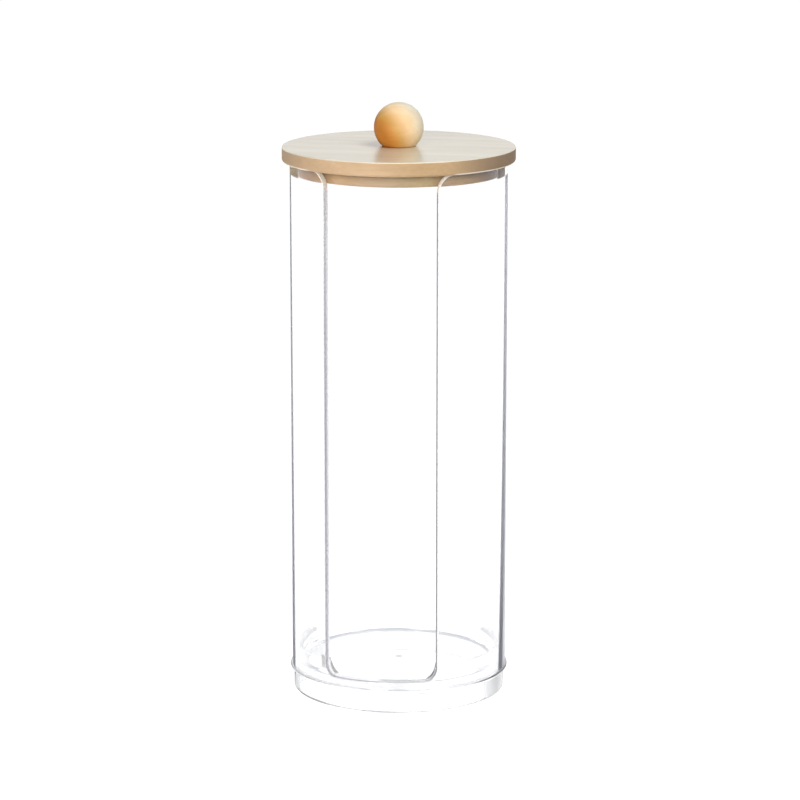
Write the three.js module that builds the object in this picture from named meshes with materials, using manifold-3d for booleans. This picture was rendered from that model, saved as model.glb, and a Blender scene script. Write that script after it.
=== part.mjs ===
// Cotton swab holder: a clear tube with a finger slot, standing on a clear moulded base,
// under a round wooden lid with a ball knob. Millimetres, +Z up, slot towards -Y,
// origin at the centre of the foot's lowest face.

import * as THREE from "three";
import { mergeVertices } from "three/addons/utils/BufferGeometryUtils.js";
import Module from "manifold-3d";

const wasm = await Module();
wasm.setup();

// Clear tube
const tubeOuterRadius = 35;
const tubeWall = 2;
const tubeLength = 166.7;

// Finger slot in the front of the tube
const slotWidth = 36.8;
const slotSillHeight = 2.8;
const slotLowerCornerRadius = 4;
const slotUpperCornerRadius = 5.5;

// Clear base: foot ring, flange under the tube, floor, and a collar inside the tube
const footHeight = 6.5;
const footStep = 0.5;
const footWall = 2;
const footEdgeRadius = 0.4;
const flangeThickness = 1;
const flangeStep = 0.6;
const flangeEdgeRadius = 0.3;
const floorRise = 1.4;
const floorThickness = 1.6;
const floorCornerRadius = 0.7;
const collarHeight = 8.2;
const collarFootWall = 1.85;
const collarLipWall = 0.4;
const collarGap = 0.15;
const gateMarkRadius = 1.2;
const gateMarkDepth = 0.25;

// Wooden lid: overhanging disc glued to a plug that drops into the tube
const discOverhang = 2.5;
const discThickness = 4.7;
const discTopEdgeRadius = 0.3;
const discLowerEdgeRadius = 0.9;
const plugDepth = 3.95;
const plugGap = 0.4;
const plugEdgeRadius = 0.6;

// Ball knob with a flat underside
const knobRadius = 8;
const knobFlatDrop = 6.05;

// Wood screw, driven up through the lid into the knob
const screwLength = 16;
const screwCoreRadius = 1.1;
const screwCrestRadius = 1.55;
const screwPitch = 1.25;
const screwThreadStart = 4.2;
const screwTipLength = 2.2;
const screwTipRadius = 0.25;
const screwHeadRadius = 3;
const screwHeadHeight = 1.8;
const screwHeadRim = 0.3;
const screwHeadInset = 0.2;
const screwHoleGap = 0.3;
const driveSlotWidth = 0.75;
const driveSlotLength = 3.4;
const driveSlotDepth = 1.1;
const threadRootSink = 0.25;
const threadRootWidth = 0.7;

// Facets
const roundSteps = 72;
const knobSteps = 40;
const knobRings = 17;
const screwSteps = 20;
const edgeSteps = 2;
const cornerSteps = 8;
const collarSteps = 4;

// Shares that only shape a cut
const slotCutStartShare = 0.5;
const slotCutEndShare = 2;
const collarBendShare = 0.36;
const gateMarkFloorShare = 0.5;

// Sizes that follow from those above
const tubeInnerRadius = tubeOuterRadius - tubeWall;
const seatHeight = footHeight + flangeThickness;
const rimHeight = seatHeight + tubeLength;
const footOuterRadius = tubeOuterRadius - footStep;
const flangeRadius = tubeOuterRadius + flangeStep;
const floorTop = seatHeight + floorRise;
const collarOuterRadius = tubeInnerRadius - collarGap;
const discRadius = tubeOuterRadius + discOverhang;
const plugRadius = tubeInnerRadius - plugGap;
const screwHoleRadius = screwCrestRadius + screwHoleGap;
const screwHeadHeightInLid = screwHeadInset - plugDepth;
const quarter = Math.PI / 2;

// Points of a round edge, from one angle to another about a centre in the profile's plane
function roundEdge(centreR, centreZ, radius, startAngle, endAngle, steps) {
  const points = [];
  for (let i = 0; i <= steps; i++) {
    const angle = startAngle + (endAngle - startAngle) * i / steps;
    points.push(new THREE.Vector2(centreR + radius * Math.cos(angle), centreZ + radius * Math.sin(angle)));
  }
  return points;
}

// Turns a profile of radius and height round the upright axis
function turned(points, steps) {
  const geometry = new THREE.LatheGeometry(points, steps);
  geometry.rotateX(quarter);
  return geometry;
}

function turnedRing(points, steps) {
  return turned([...points, points[0].clone()], steps);
}

function toSolid(geometry) {
  const plain = geometry.clone();
  plain.deleteAttribute("normal");
  plain.deleteAttribute("uv");
  const merged = mergeVertices(plain);
  const corners = merged.index.array;
  const triangles = [];
  for (let i = 0; i < corners.length; i += 3) {
    const [a, b, c] = corners.slice(i, i + 3);
    if (a !== b && b !== c && c !== a) {
      triangles.push(a, b, c);
    }
  }
  return new wasm.Manifold(new wasm.Mesh({
    numProp: 3,
    vertProperties: merged.attributes.position.array,
    triVerts: Uint32Array.from(triangles),
  }));
}

function toGeometry(solid) {
  const mesh = solid.getMesh();
  const geometry = new THREE.BufferGeometry();
  geometry.setAttribute("position", new THREE.BufferAttribute(mesh.vertProperties, mesh.numProp));
  geometry.setIndex(new THREE.BufferAttribute(mesh.triVerts, 1));
  geometry.computeVertexNormals();
  return geometry;
}

// The slot's outline laid flat: distance along the tube's face, and height in the frame
function slotOutline() {
  const halfArc = tubeOuterRadius * Math.asin(slotWidth / 2 / tubeOuterRadius);
  const sill = seatHeight + slotSillHeight;
  const lower = slotLowerCornerRadius;
  const upper = slotUpperCornerRadius;
  const above = rimHeight + upper;
  const outline = new THREE.Shape();
  outline.moveTo(lower - halfArc, sill);
  outline.lineTo(halfArc - lower, sill);
  outline.absarc(halfArc - lower, sill + lower, lower, -quarter, 0, false);
  outline.lineTo(halfArc, rimHeight - upper);
  outline.absarc(halfArc + upper, rimHeight - upper, upper, Math.PI, quarter, true);
  outline.lineTo(halfArc + upper, above);
  outline.lineTo(-halfArc - upper, above);
  outline.lineTo(-halfArc - upper, rimHeight);
  outline.absarc(-halfArc - upper, rimHeight - upper, upper, quarter, 0, true);
  outline.lineTo(-halfArc, sill + lower);
  outline.absarc(lower - halfArc, sill + lower, lower, Math.PI, Math.PI + quarter, false);
  return outline;
}

// The slot as a solid with radial sides, bent round the axis and lowered by the carrier's own height
function slotCutter(carrierHeight) {
  const startRadius = tubeInnerRadius * slotCutStartShare;
  const depth = tubeOuterRadius * slotCutEndShare - startRadius;
  const settings = { depth, bevelEnabled: false, curveSegments: cornerSteps };
  const geometry = new THREE.ExtrudeGeometry(slotOutline(), settings);
  const places = geometry.attributes.position;
  for (let i = 0; i < places.count; i++) {
    const angle = places.getX(i) / tubeOuterRadius;
    const radius = startRadius + places.getZ(i);
    const height = places.getY(i) - carrierHeight;
    places.setXYZ(i, radius * Math.sin(angle), -radius * Math.cos(angle), height);
  }
  return toSolid(geometry);
}

function tubeGeometry() {
  const wall = turnedRing([
    new THREE.Vector2(tubeInnerRadius, 0),
    new THREE.Vector2(tubeOuterRadius, 0),
    new THREE.Vector2(tubeOuterRadius, tubeLength),
    new THREE.Vector2(tubeInnerRadius, tubeLength),
  ], roundSteps);
  return toGeometry(toSolid(wall).subtract(slotCutter(seatHeight)));
}

// The collar's inner face, from the floor's round corner up to its thin lip
function collarFace() {
  const footRadius = collarOuterRadius - collarFootWall;
  const lipRadius = collarOuterRadius - collarLipWall;
  const lipHeight = seatHeight + collarHeight;
  const cornerTop = floorTop + floorCornerRadius;
  const bendHeight = cornerTop + (lipHeight - cornerTop) * collarBendShare;
  const face = new THREE.QuadraticBezierCurve(
    new THREE.Vector2(lipRadius, lipHeight),
    new THREE.Vector2(footRadius, bendHeight),
    new THREE.Vector2(footRadius, cornerTop),
  );
  return face.getPoints(collarSteps);
}

// Half a section of the base, from under its floor, round the foot and flange, to the gate mark
function baseProfile() {
  const footInnerRadius = footOuterRadius - footWall;
  const floorUnderside = floorTop - floorThickness;
  const cornerRadius = collarOuterRadius - collarFootWall - floorCornerRadius;
  const gateFloorRadius = gateMarkRadius * gateMarkFloorShare;
  return [
    new THREE.Vector2(0, floorUnderside),
    new THREE.Vector2(footInnerRadius, floorUnderside),
    ...roundEdge(footInnerRadius + footEdgeRadius, footEdgeRadius, footEdgeRadius,
      Math.PI, Math.PI + quarter, edgeSteps),
    ...roundEdge(footOuterRadius - footEdgeRadius, footEdgeRadius, footEdgeRadius, -quarter, 0, edgeSteps),
    new THREE.Vector2(footOuterRadius, footHeight),
    ...roundEdge(flangeRadius - flangeEdgeRadius, footHeight + flangeEdgeRadius, flangeEdgeRadius,
      -quarter, 0, edgeSteps),
    ...roundEdge(flangeRadius - flangeEdgeRadius, seatHeight - flangeEdgeRadius, flangeEdgeRadius,
      0, quarter, edgeSteps),
    new THREE.Vector2(collarOuterRadius, seatHeight),
    new THREE.Vector2(collarOuterRadius, seatHeight + collarHeight),
    ...collarFace(),
    ...roundEdge(cornerRadius, floorTop + floorCornerRadius, floorCornerRadius, 0, -quarter, edgeSteps).slice(1),
    new THREE.Vector2(gateMarkRadius, floorTop),
    new THREE.Vector2(gateFloorRadius, floorTop - gateMarkDepth),
    new THREE.Vector2(0, floorTop - gateMarkDepth),
  ];
}

function baseGeometry() {
  return toGeometry(toSolid(turned(baseProfile(), roundSteps)).subtract(slotCutter(0)));
}

function discGeometry() {
  const lower = discLowerEdgeRadius;
  const upper = discTopEdgeRadius;
  return turnedRing([
    new THREE.Vector2(screwHoleRadius, 0),
    ...roundEdge(discRadius - lower, lower, lower, -quarter, 0, edgeSteps),
    ...roundEdge(discRadius - upper, discThickness - upper, upper, 0, quarter, edgeSteps),
    new THREE.Vector2(screwHoleRadius, discThickness),
  ], roundSteps);
}

// The plug hangs below the disc, countersunk for the screw's head
function plugGeometry() {
  const sinkTop = screwHeadHeightInLid + screwHeadHeight;
  const rimTop = screwHeadHeightInLid + screwHeadRim;
  return turnedRing([
    new THREE.Vector2(screwHoleRadius, sinkTop),
    new THREE.Vector2(screwHeadRadius + screwHoleGap, rimTop),
    new THREE.Vector2(screwHeadRadius + screwHoleGap, -plugDepth),
    ...roundEdge(plugRadius - plugEdgeRadius, plugEdgeRadius - plugDepth, plugEdgeRadius,
      -quarter, 0, edgeSteps),
    new THREE.Vector2(plugRadius, 0),
    new THREE.Vector2(screwHoleRadius, 0),
  ], roundSteps);
}

// The knob is centred on its ball, with a blind hole for the screw from the flat upwards
function knobGeometry() {
  const flatRadius = Math.sqrt(knobRadius * knobRadius - knobFlatDrop * knobFlatDrop);
  const flatAngle = -Math.asin(knobFlatDrop / knobRadius);
  const tipInLid = screwHeadHeightInLid + screwLength;
  const holeEnd = tipInLid + screwHoleGap - discThickness - knobFlatDrop;
  const holeShoulder = holeEnd - screwTipLength;
  return turned([
    new THREE.Vector2(0, holeEnd),
    new THREE.Vector2(screwHoleRadius, holeShoulder),
    new THREE.Vector2(screwHoleRadius, -knobFlatDrop),
    new THREE.Vector2(flatRadius, -knobFlatDrop),
    ...roundEdge(0, 0, knobRadius, flatAngle, quarter, knobRings).slice(1, -1),
    new THREE.Vector2(0, knobRadius),
  ], knobSteps);
}

// One thread ridge: a triangle wound round the core, from the plain neck to the tip
function threadGeometry() {
  const start = screwThreadStart;
  const end = screwLength - screwTipLength;
  const steps = Math.round((end - start) / screwPitch * screwSteps);
  const places = [];
  const faces = [];
  const rootRadius = screwCoreRadius - threadRootSink;
  for (let i = 0; i <= steps; i++) {
    const along = i / steps;
    const angle = i / screwSteps * 2 * Math.PI;
    const height = start + (end - start) * along;
    const sine = Math.sin(angle);
    const cosine = Math.cos(angle);
    places.push(rootRadius * cosine, rootRadius * sine, height - threadRootWidth / 2);
    places.push(screwCrestRadius * cosine, screwCrestRadius * sine, height);
    places.push(rootRadius * cosine, rootRadius * sine, height + threadRootWidth / 2);
  }
  for (let i = 0; i < steps; i++) {
    for (let side = 0; side < 3; side++) {
      const here = i * 3 + side;
      const beside = i * 3 + (side + 1) % 3;
      faces.push(here, here + 3, beside, beside, here + 3, beside + 3);
    }
  }
  const last = steps * 3;
  faces.push(0, 1, 2, last, last + 2, last + 1);
  const geometry = new THREE.BufferGeometry();
  geometry.setAttribute("position", new THREE.Float32BufferAttribute(places, 3));
  geometry.setIndex(faces);
  return geometry;
}

// Head at the bottom, tip at the top, with a cross-shaped recess in the head
function screwGeometry() {
  const core = toSolid(turned([
    new THREE.Vector2(0, 0),
    new THREE.Vector2(screwHeadRadius, 0),
    new THREE.Vector2(screwHeadRadius, screwHeadRim),
    new THREE.Vector2(screwCoreRadius, screwHeadHeight),
    new THREE.Vector2(screwCoreRadius, screwLength - screwTipLength),
    new THREE.Vector2(screwTipRadius, screwLength),
    new THREE.Vector2(0, screwLength),
  ], screwSteps));
  const along = new THREE.BoxGeometry(driveSlotLength, driveSlotWidth, driveSlotDepth * 2);
  const across = new THREE.BoxGeometry(driveSlotWidth, driveSlotLength, driveSlotDepth * 2);
  const recess = toSolid(along).add(toSolid(across));
  return toGeometry(core.add(toSolid(threadGeometry())).subtract(recess));
}

function piece(name, geometry, material, height) {
  const mesh = new THREE.Mesh(geometry, material);
  mesh.name = name;
  mesh.position.z = height;
  return mesh;
}

function clearPlastic(colour) {
  return new THREE.MeshStandardMaterial({
    color: colour, roughness: 0.04, metalness: 0, transparent: true, opacity: 0.3,
  });
}

function wood(colour, roughness) {
  return new THREE.MeshStandardMaterial({ color: colour, roughness, metalness: 0 });
}

const zincSteel = new THREE.MeshStandardMaterial({ color: 0xb9bcc0, roughness: 0.35, metalness: 1 });

const holder = new THREE.Group();
holder.add(piece("base_cup", baseGeometry(), clearPlastic(0xf3f7f9), 0));
holder.add(piece("clear_tube", tubeGeometry(), clearPlastic(0xf6f9fb), seatHeight));

const lid = new THREE.Group();
lid.position.z = rimHeight;
lid.add(piece("lid_disc", discGeometry(), wood(0xd0ac82, 0.55), 0));
lid.add(piece("lid_plug", plugGeometry(), wood(0xc9a478, 0.65), 0));
lid.add(piece("ball_knob", knobGeometry(), wood(0xe3b077, 0.45), discThickness + knobFlatDrop));
lid.add(piece("knob_screw", screwGeometry(), zincSteel, screwHeadHeightInLid));

const swabHolder = new THREE.Group();
swabHolder.add(holder, lid);

export default swabHolder;
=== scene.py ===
# Cotton swab holder: a clear slotted tube on a clear moulded base, under a wooden lid with a ball knob.
# Metres, +Z up, finger slot towards -Y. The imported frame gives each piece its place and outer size.

import math

import bmesh
import bpy
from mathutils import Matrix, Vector


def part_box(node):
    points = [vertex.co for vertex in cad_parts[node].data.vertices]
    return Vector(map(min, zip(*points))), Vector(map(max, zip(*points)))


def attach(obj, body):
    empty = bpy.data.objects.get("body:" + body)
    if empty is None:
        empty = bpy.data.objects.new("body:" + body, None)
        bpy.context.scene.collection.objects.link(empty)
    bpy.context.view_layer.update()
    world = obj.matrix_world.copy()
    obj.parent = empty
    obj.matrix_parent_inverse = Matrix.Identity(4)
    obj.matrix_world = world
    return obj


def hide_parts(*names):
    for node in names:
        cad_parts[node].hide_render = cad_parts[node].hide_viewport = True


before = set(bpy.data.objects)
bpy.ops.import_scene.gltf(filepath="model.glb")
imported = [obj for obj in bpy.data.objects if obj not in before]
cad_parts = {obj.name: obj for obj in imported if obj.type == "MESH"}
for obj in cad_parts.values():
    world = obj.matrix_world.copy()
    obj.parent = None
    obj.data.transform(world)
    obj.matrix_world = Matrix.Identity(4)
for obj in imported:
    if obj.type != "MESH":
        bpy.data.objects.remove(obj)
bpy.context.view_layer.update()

scene = bpy.context.scene
mm = 0.001
quarter = math.pi / 2
weldDistance = 0.002 * mm


# A colour as it is read off a screen, 0 to 255, made linear for the shaders
def tone(red, green, blue):
    channels = []
    for value in (red, green, blue):
        share = value / 255
        channels.append(share / 12.92 if share <= 0.04045 else ((share + 0.055) / 1.055) ** 2.4)
    return (*channels, 1.0)


def spread(start, end, steps):
    return [start + (end - start) * i / steps for i in range(steps + 1)]


# Points of a round edge in a section, from one angle to another in degrees
def roundEdge(centreR, centreZ, radius, startDegrees, endDegrees, steps):
    turn = [math.radians(a) for a in spread(startDegrees, endDegrees, steps)]
    return [(centreR + radius * math.cos(a), centreZ + radius * math.sin(a)) for a in turn]


# A place on a round wall, with the angle counted from the slot's middle
def around(angle, radius, height):
    return Vector((radius * math.sin(angle), -radius * math.cos(angle), height))


# Faces between two rows of vertices; a vertex that both rows share gives a triangle
def bridgeRows(bm, first, second, paint, closed=False):
    count = len(first)
    for i in range(count if closed else count - 1):
        j = (i + 1) % count
        corners = []
        for vertex in (first[i], first[j], second[j], second[i]):
            if vertex not in corners:
                corners.append(vertex)
        if len(corners) > 2:
            face = bm.faces.new(corners)
            face.material_index = paint(i) if callable(paint) else paint


# Turns sections of (radius, height) points round the axis, one section for each angle
def addTurned(bm, angles, sections, paint, ring):
    columns = []
    for angle, section in zip(angles, sections):
        columns.append([bm.verts.new(around(angle, r, z)) for r, z in section])
    for i, column in enumerate(columns):
        beside = columns[(i + 1) % len(columns)]
        bridgeRows(bm, column, beside, lambda row: paint(i, row), closed=ring)


# Welds a piece, gives it its paints, and puts it on its body in place of its plain solid
def finishPiece(name, bm, paints, body, nodes):
    bmesh.ops.remove_doubles(bm, verts=bm.verts, dist=weldDistance)
    bmesh.ops.recalc_face_normals(bm, faces=bm.faces)
    for face in bm.faces:
        face.smooth = True
    mesh = bpy.data.meshes.new(name)
    bm.to_mesh(mesh)
    bm.free()
    for paint in paints:
        mesh.materials.append(paint)
    piece = bpy.data.objects.new(name, mesh)
    scene.collection.objects.link(piece)
    evenNormals = piece.modifiers.new("evenNormals", "WEIGHTED_NORMAL")
    evenNormals.weight = 100  # broad faces settle the shading of the narrow rounds beside them
    evenNormals.mode = "FACE_AREA"
    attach(piece, body)
    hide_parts(*nodes)
    print(f"{name}: {len(mesh.vertices)} vertices on {body}")


# Shader helpers
def addNode(tree, kind, **values):
    node = tree.nodes.new(kind)
    for key, value in values.items():
        setattr(node, key, value)
    return node


def setInputs(node, **values):
    for key, value in values.items():
        node.inputs[key.replace("_", " ")].default_value = value
    return node


# A group of numbers: its inputs with their usual values, and its outputs
def newGroup(name, inputs, outputs):
    group = bpy.data.node_groups.new(name, "ShaderNodeTree")
    for label, value in inputs.items():
        socket = group.interface.new_socket(name=label, in_out="INPUT", socket_type="NodeSocketFloat")
        socket.default_value = value
    for label in outputs:
        group.interface.new_socket(name=label, in_out="OUTPUT", socket_type="NodeSocketFloat")
    return group, addNode(group, "NodeGroupInput"), addNode(group, "NodeGroupOutput")


def newMaterial(name):
    material = bpy.data.materials.new(name)
    material.use_nodes = True
    tree = material.node_tree
    tree.nodes.clear()
    shader = addNode(tree, "ShaderNodeBsdfPrincipled")
    output = addNode(tree, "ShaderNodeOutputMaterial")
    return material, tree, shader, output


def placeGroup(tree, group, **values):
    node = addNode(tree, "ShaderNodeGroup", node_tree=group)
    return setInputs(node, **values)


def math2(tree, operation, first, second):
    node = addNode(tree, "ShaderNodeMath", operation=operation)
    for i, value in enumerate((first, second)):
        if isinstance(value, (int, float)):
            node.inputs[i].default_value = value
        else:
            tree.links.new(value, node.inputs[i])
    return node.outputs[0]


def product(tree, first, *others):
    for value in others:
        first = math2(tree, "MULTIPLY", first, value)
    return first


def oneMinus(tree, value):
    return math2(tree, "SUBTRACT", 1.0, value)


# A value carried from one range to another, held at its ends
def ramp(tree, value, start, end, low=0.0, high=1.0, kind="SMOOTHSTEP"):
    node = addNode(tree, "ShaderNodeMapRange", interpolation_type=kind)
    setInputs(node, From_Min=start, From_Max=end, To_Min=low, To_Max=high)
    tree.links.new(value, node.inputs["Value"])
    return node.outputs["Result"]


def mixColour(tree, factor, first, second, blend="MIX"):
    node = addNode(tree, "ShaderNodeMix", data_type="RGBA", blend_type=blend)
    for socket, value in ((node.inputs[0], factor), (node.inputs[6], first), (node.inputs[7], second)):
        if isinstance(value, (int, float, tuple)):
            socket.default_value = value
        else:
            tree.links.new(value, socket)
    return node.outputs[2]


# A row of colours along a value from 0 to 1
def colourBar(tree, value, stops):
    node = addNode(tree, "ShaderNodeValToRGB")
    tree.links.new(value, node.inputs["Fac"])
    bar = node.color_ramp
    for i, (position, colour) in enumerate(stops):
        stop = bar.elements[i] if i < 2 else bar.elements.new(position)
        stop.position = position
        stop.color = colour
    return node.outputs["Color"]


# Slow waves of a moulded or drawn plastic wall, and its fine scuffs
def makePlasticGroup():
    usual = {"Wave Scale": 40.0, "Scuff Scale": 900.0}
    group, start, end = newGroup("plasticWaves", usual, ["Height", "Scuffs"])
    place = addNode(group, "ShaderNodeTexCoord")
    for scaleName, detail, label in (("Wave Scale", 1.0, "Height"), ("Scuff Scale", 3.0, "Scuffs")):
        noise = setInputs(addNode(group, "ShaderNodeTexNoise"), Detail=detail)
        group.links.new(place.outputs["Object"], noise.inputs["Vector"])
        group.links.new(start.outputs[scaleName], noise.inputs["Scale"])
        group.links.new(noise.outputs["Fac"], end.inputs[label])
    return group


# Where a point of a piece lies: across, back, up, and out from the axis
def makePlaceGroup():
    group, start, end = newGroup("bodyPlace", {}, ["Across", "Depth", "Height", "Radius"])
    place = addNode(group, "ShaderNodeTexCoord")
    parts = addNode(group, "ShaderNodeSeparateXYZ")
    group.links.new(place.outputs["Object"], parts.inputs[0])
    squares = [math2(group, "MULTIPLY", parts.outputs[i], parts.outputs[i]) for i in (0, 1)]
    radius = math2(group, "POWER", math2(group, "ADD", *squares), 0.5)
    for axis, label in (("X", "Across"), ("Y", "Depth"), ("Z", "Height")):
        group.links.new(parts.outputs[axis], end.inputs[label])
    group.links.new(radius, end.inputs["Radius"])
    return group


grainSpec = {
    "swayScale": 22.0,
    "swayReach": 0.01,
    "swayDetail": 1.0,
    "bandDetail": 2.0,
    "fibreDetail": 4.0,
    "noiseRoughness": 0.6,
}


# Wood that grows along X: broad growth bands and fine fibres, bent by a slow sway
def makeWoodGroup():
    usual = {"Band Scale": 60.0, "Fibre Scale": 900.0, "Stretch": 0.05, "Sway": 0.4}
    group, start, end = newGroup("sawnGrain", usual, ["Bands", "Fibres"])
    links = group.links
    place = addNode(group, "ShaderNodeTexCoord")
    sway = addNode(group, "ShaderNodeTexNoise")
    setInputs(sway, Scale=grainSpec["swayScale"], Detail=grainSpec["swayDetail"])
    links.new(place.outputs["Object"], sway.inputs["Vector"])
    shift = addNode(group, "ShaderNodeVectorMath", operation="SCALE")
    links.new(sway.outputs["Color"], shift.inputs[0])
    links.new(product(group, start.outputs["Sway"], grainSpec["swayReach"]), shift.inputs["Scale"])
    bent = addNode(group, "ShaderNodeVectorMath", operation="ADD")
    links.new(place.outputs["Object"], bent.inputs[0])
    links.new(shift.outputs[0], bent.inputs[1])
    squeeze = setInputs(addNode(group, "ShaderNodeCombineXYZ"), Y=1.0, Z=1.0)
    links.new(start.outputs["Stretch"], squeeze.inputs["X"])
    along = addNode(group, "ShaderNodeVectorMath", operation="MULTIPLY")
    links.new(bent.outputs[0], along.inputs[0])
    links.new(squeeze.outputs[0], along.inputs[1])
    for scaleName, detail, label in (("Band Scale", "bandDetail", "Bands"),
                                     ("Fibre Scale", "fibreDetail", "Fibres")):
        noise = addNode(group, "ShaderNodeTexNoise")
        setInputs(noise, Detail=grainSpec[detail], Roughness=grainSpec["noiseRoughness"])
        links.new(along.outputs[0], noise.inputs["Vector"])
        links.new(start.outputs[scaleName], noise.inputs["Scale"])
        links.new(noise.outputs["Fac"], end.inputs[label])
    return group


plasticWaves = makePlasticGroup()
bodyPlace = makePlaceGroup()
sawnGrain = makeWoodGroup()
middleBlend = 1 * mm  # half the width over which a left half turns into a right one


# 0 on a piece's left half and 1 on its right half
def rightHalf(tree, place):
    return ramp(tree, place["Across"], -middleBlend, middleBlend)


# How far a point lies to either side of the slot's middle
def sideways(tree, place):
    return math2(tree, "ABSOLUTE", place["Across"], 0.0)


# Clear plastic: paint gives its tint and blur from place and facing, and lamps shine through it
def makeClear(name, look, paint):
    material, tree, shader, output = newMaterial(name)
    place = placeGroup(tree, bodyPlace)
    weight = setInputs(addNode(tree, "ShaderNodeLayerWeight"), Blend=0.5)
    colour, blur = paint(tree, place.outputs, weight.outputs["Facing"], look)
    tree.links.new(colour, shader.inputs["Base Color"])
    waves = placeGroup(tree, plasticWaves, Wave_Scale=look["waveScale"], Scuff_Scale=look["scuffScale"])
    polish = look["polish"]
    worn = polish + look["scuffs"]
    scuffed = ramp(tree, waves.outputs["Scuffs"], *look["scuffRange"], polish, worn, "LINEAR")
    tree.links.new(math2(tree, "MAXIMUM", scuffed, blur), shader.inputs["Roughness"])
    bump = addNode(tree, "ShaderNodeBump")
    setInputs(bump, Strength=look["waveStrength"], Distance=look["waveDepth"])
    tree.links.new(waves.outputs["Height"], bump.inputs["Height"])
    tree.links.new(bump.outputs["Normal"], shader.inputs["Normal"])
    setInputs(shader, IOR=look["bending"], Transmission_Weight=look["clarity"])
    lamplight = addNode(tree, "ShaderNodeBsdfTransparent")
    lamplight.inputs["Color"].default_value = look["shadow"]
    rays = addNode(tree, "ShaderNodeLightPath")
    mix = addNode(tree, "ShaderNodeMixShader")
    tree.links.new(rays.outputs["Is Shadow Ray"], mix.inputs["Fac"])
    tree.links.new(shader.outputs[0], mix.inputs[1])
    tree.links.new(lamplight.outputs[0], mix.inputs[2])
    tree.links.new(mix.outputs[0], output.inputs["Surface"])
    return material


# A faint line of painted reflection where an inner face is seen edge on
def paintFaint(tree, place, facing, look):
    line = ramp(tree, facing, look["lineStart"], look["lineFull"])
    colour = mixColour(tree, line, look["clear"], look["line"])
    return colour, product(tree, line, look["lineBlur"])


# Clear tube
tubeLow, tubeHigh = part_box("clear_tube")
plugLow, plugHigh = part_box("lid_plug")
tubeSpec = {
    "wall": 2.0 * mm,
    "slotWidth": 36.8 * mm,
    "sillRise": 2.8 * mm,
    "lowerCorner": 4.0 * mm,
    "upperCorner": 5.5 * mm,
    "edgeRound": 0.25 * mm,
    "footRound": 0.06 * mm,
    "edgeSteps": 4,
    "sillSteps": 12,
    "cornerSteps": 16,
    "sideSteps": 24,
    "rimSteps": 80,
    "lowRows": 2,
}
tubeOuter = tubeHigh.x
tubeInner = tubeOuter - tubeSpec["wall"]
rimHeight = tubeHigh.z
seatHeight = tubeLow.z
slotHalfArc = tubeOuter * math.asin(tubeSpec["slotWidth"] / 2 / tubeOuter)
sillHeight = seatHeight + tubeSpec["sillRise"]
wallLook = {
    "clear": tone(254, 254, 255),
    # Painted reflection: grey lines where the wall is seen edge on, widening and turning pale on the right
    "lineAtRim": tone(188, 190, 198),
    "lineAtFoot": tone(98, 100, 110),
    "linePale": tone(172, 174, 188),
    "lineStart": 0.826,
    "lineFull": 0.886,
    "paleStart": 0.946,
    "paleFull": 1.006,
    "leftWidenAtFoot": 0.06,
    "rightWiden": 0.07,
    "rightWidenAtFoot": 0.115,
    # Painted shade low on the right side of the wall
    "lowShade": tone(212, 213, 214),
    "lowShadeStart": 0.5,
    "lowShadeFull": 0.62,
    "lowShadeLow": seatHeight + 1 * mm,
    "lowShadeHigh": seatHeight + 8 * mm,
    # Painted shade beside the slot's left foot, standing in for the collar's end seen through the wall
    "collarShade": tone(142, 142, 141),
    "collarShadeAside": (-20.3 * mm, -19.7 * mm),
    "collarShadeFront": (-22 * mm, -24 * mm),
    "collarShadeFoot": (sillHeight + 1.8 * mm, sillHeight + 2.6 * mm),
    "collarShadeTop": (sillHeight + 7.0 * mm, sillHeight + 6.0 * mm),
    # Painted shade where the plug is seen through the wall, and the plug's wood as painted reflection in
    # the wall
    "plugSeenLeft": tone(232, 228, 222),
    "plugSeenRight": tone(242, 240, 236),
    "plugReflectionLeft": tone(232, 206, 160),
    "plugReflectionRight": tone(166, 152, 138),
    "woodWiden": 0.045,
    "woodStart": 0.61,
    "woodFull": 0.63,
    "woodEnd": 0.755,
    "woodGone": 0.775,
    "woodLow": plugLow.z + 0.1 * mm,
    "woodHigh": plugLow.z + 0.5 * mm,
    "paleSharpness": 0.7,
    "clarity": 1.0,
    "bending": 1.49,
    "waveScale": 30.0,
    "scuffScale": 900.0,
    "scuffRange": (0.35, 0.7),
    "polish": 0.0,
    "scuffs": 0.02,
    "waveStrength": 0.15,
    "waveDepth": 0.05 * mm,
    "shadow": tone(250, 252, 253),
}
insideLook = dict(wallLook, line=tone(238, 240, 243), lineStart=0.78, lineFull=0.92, lineBlur=0.1)
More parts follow.
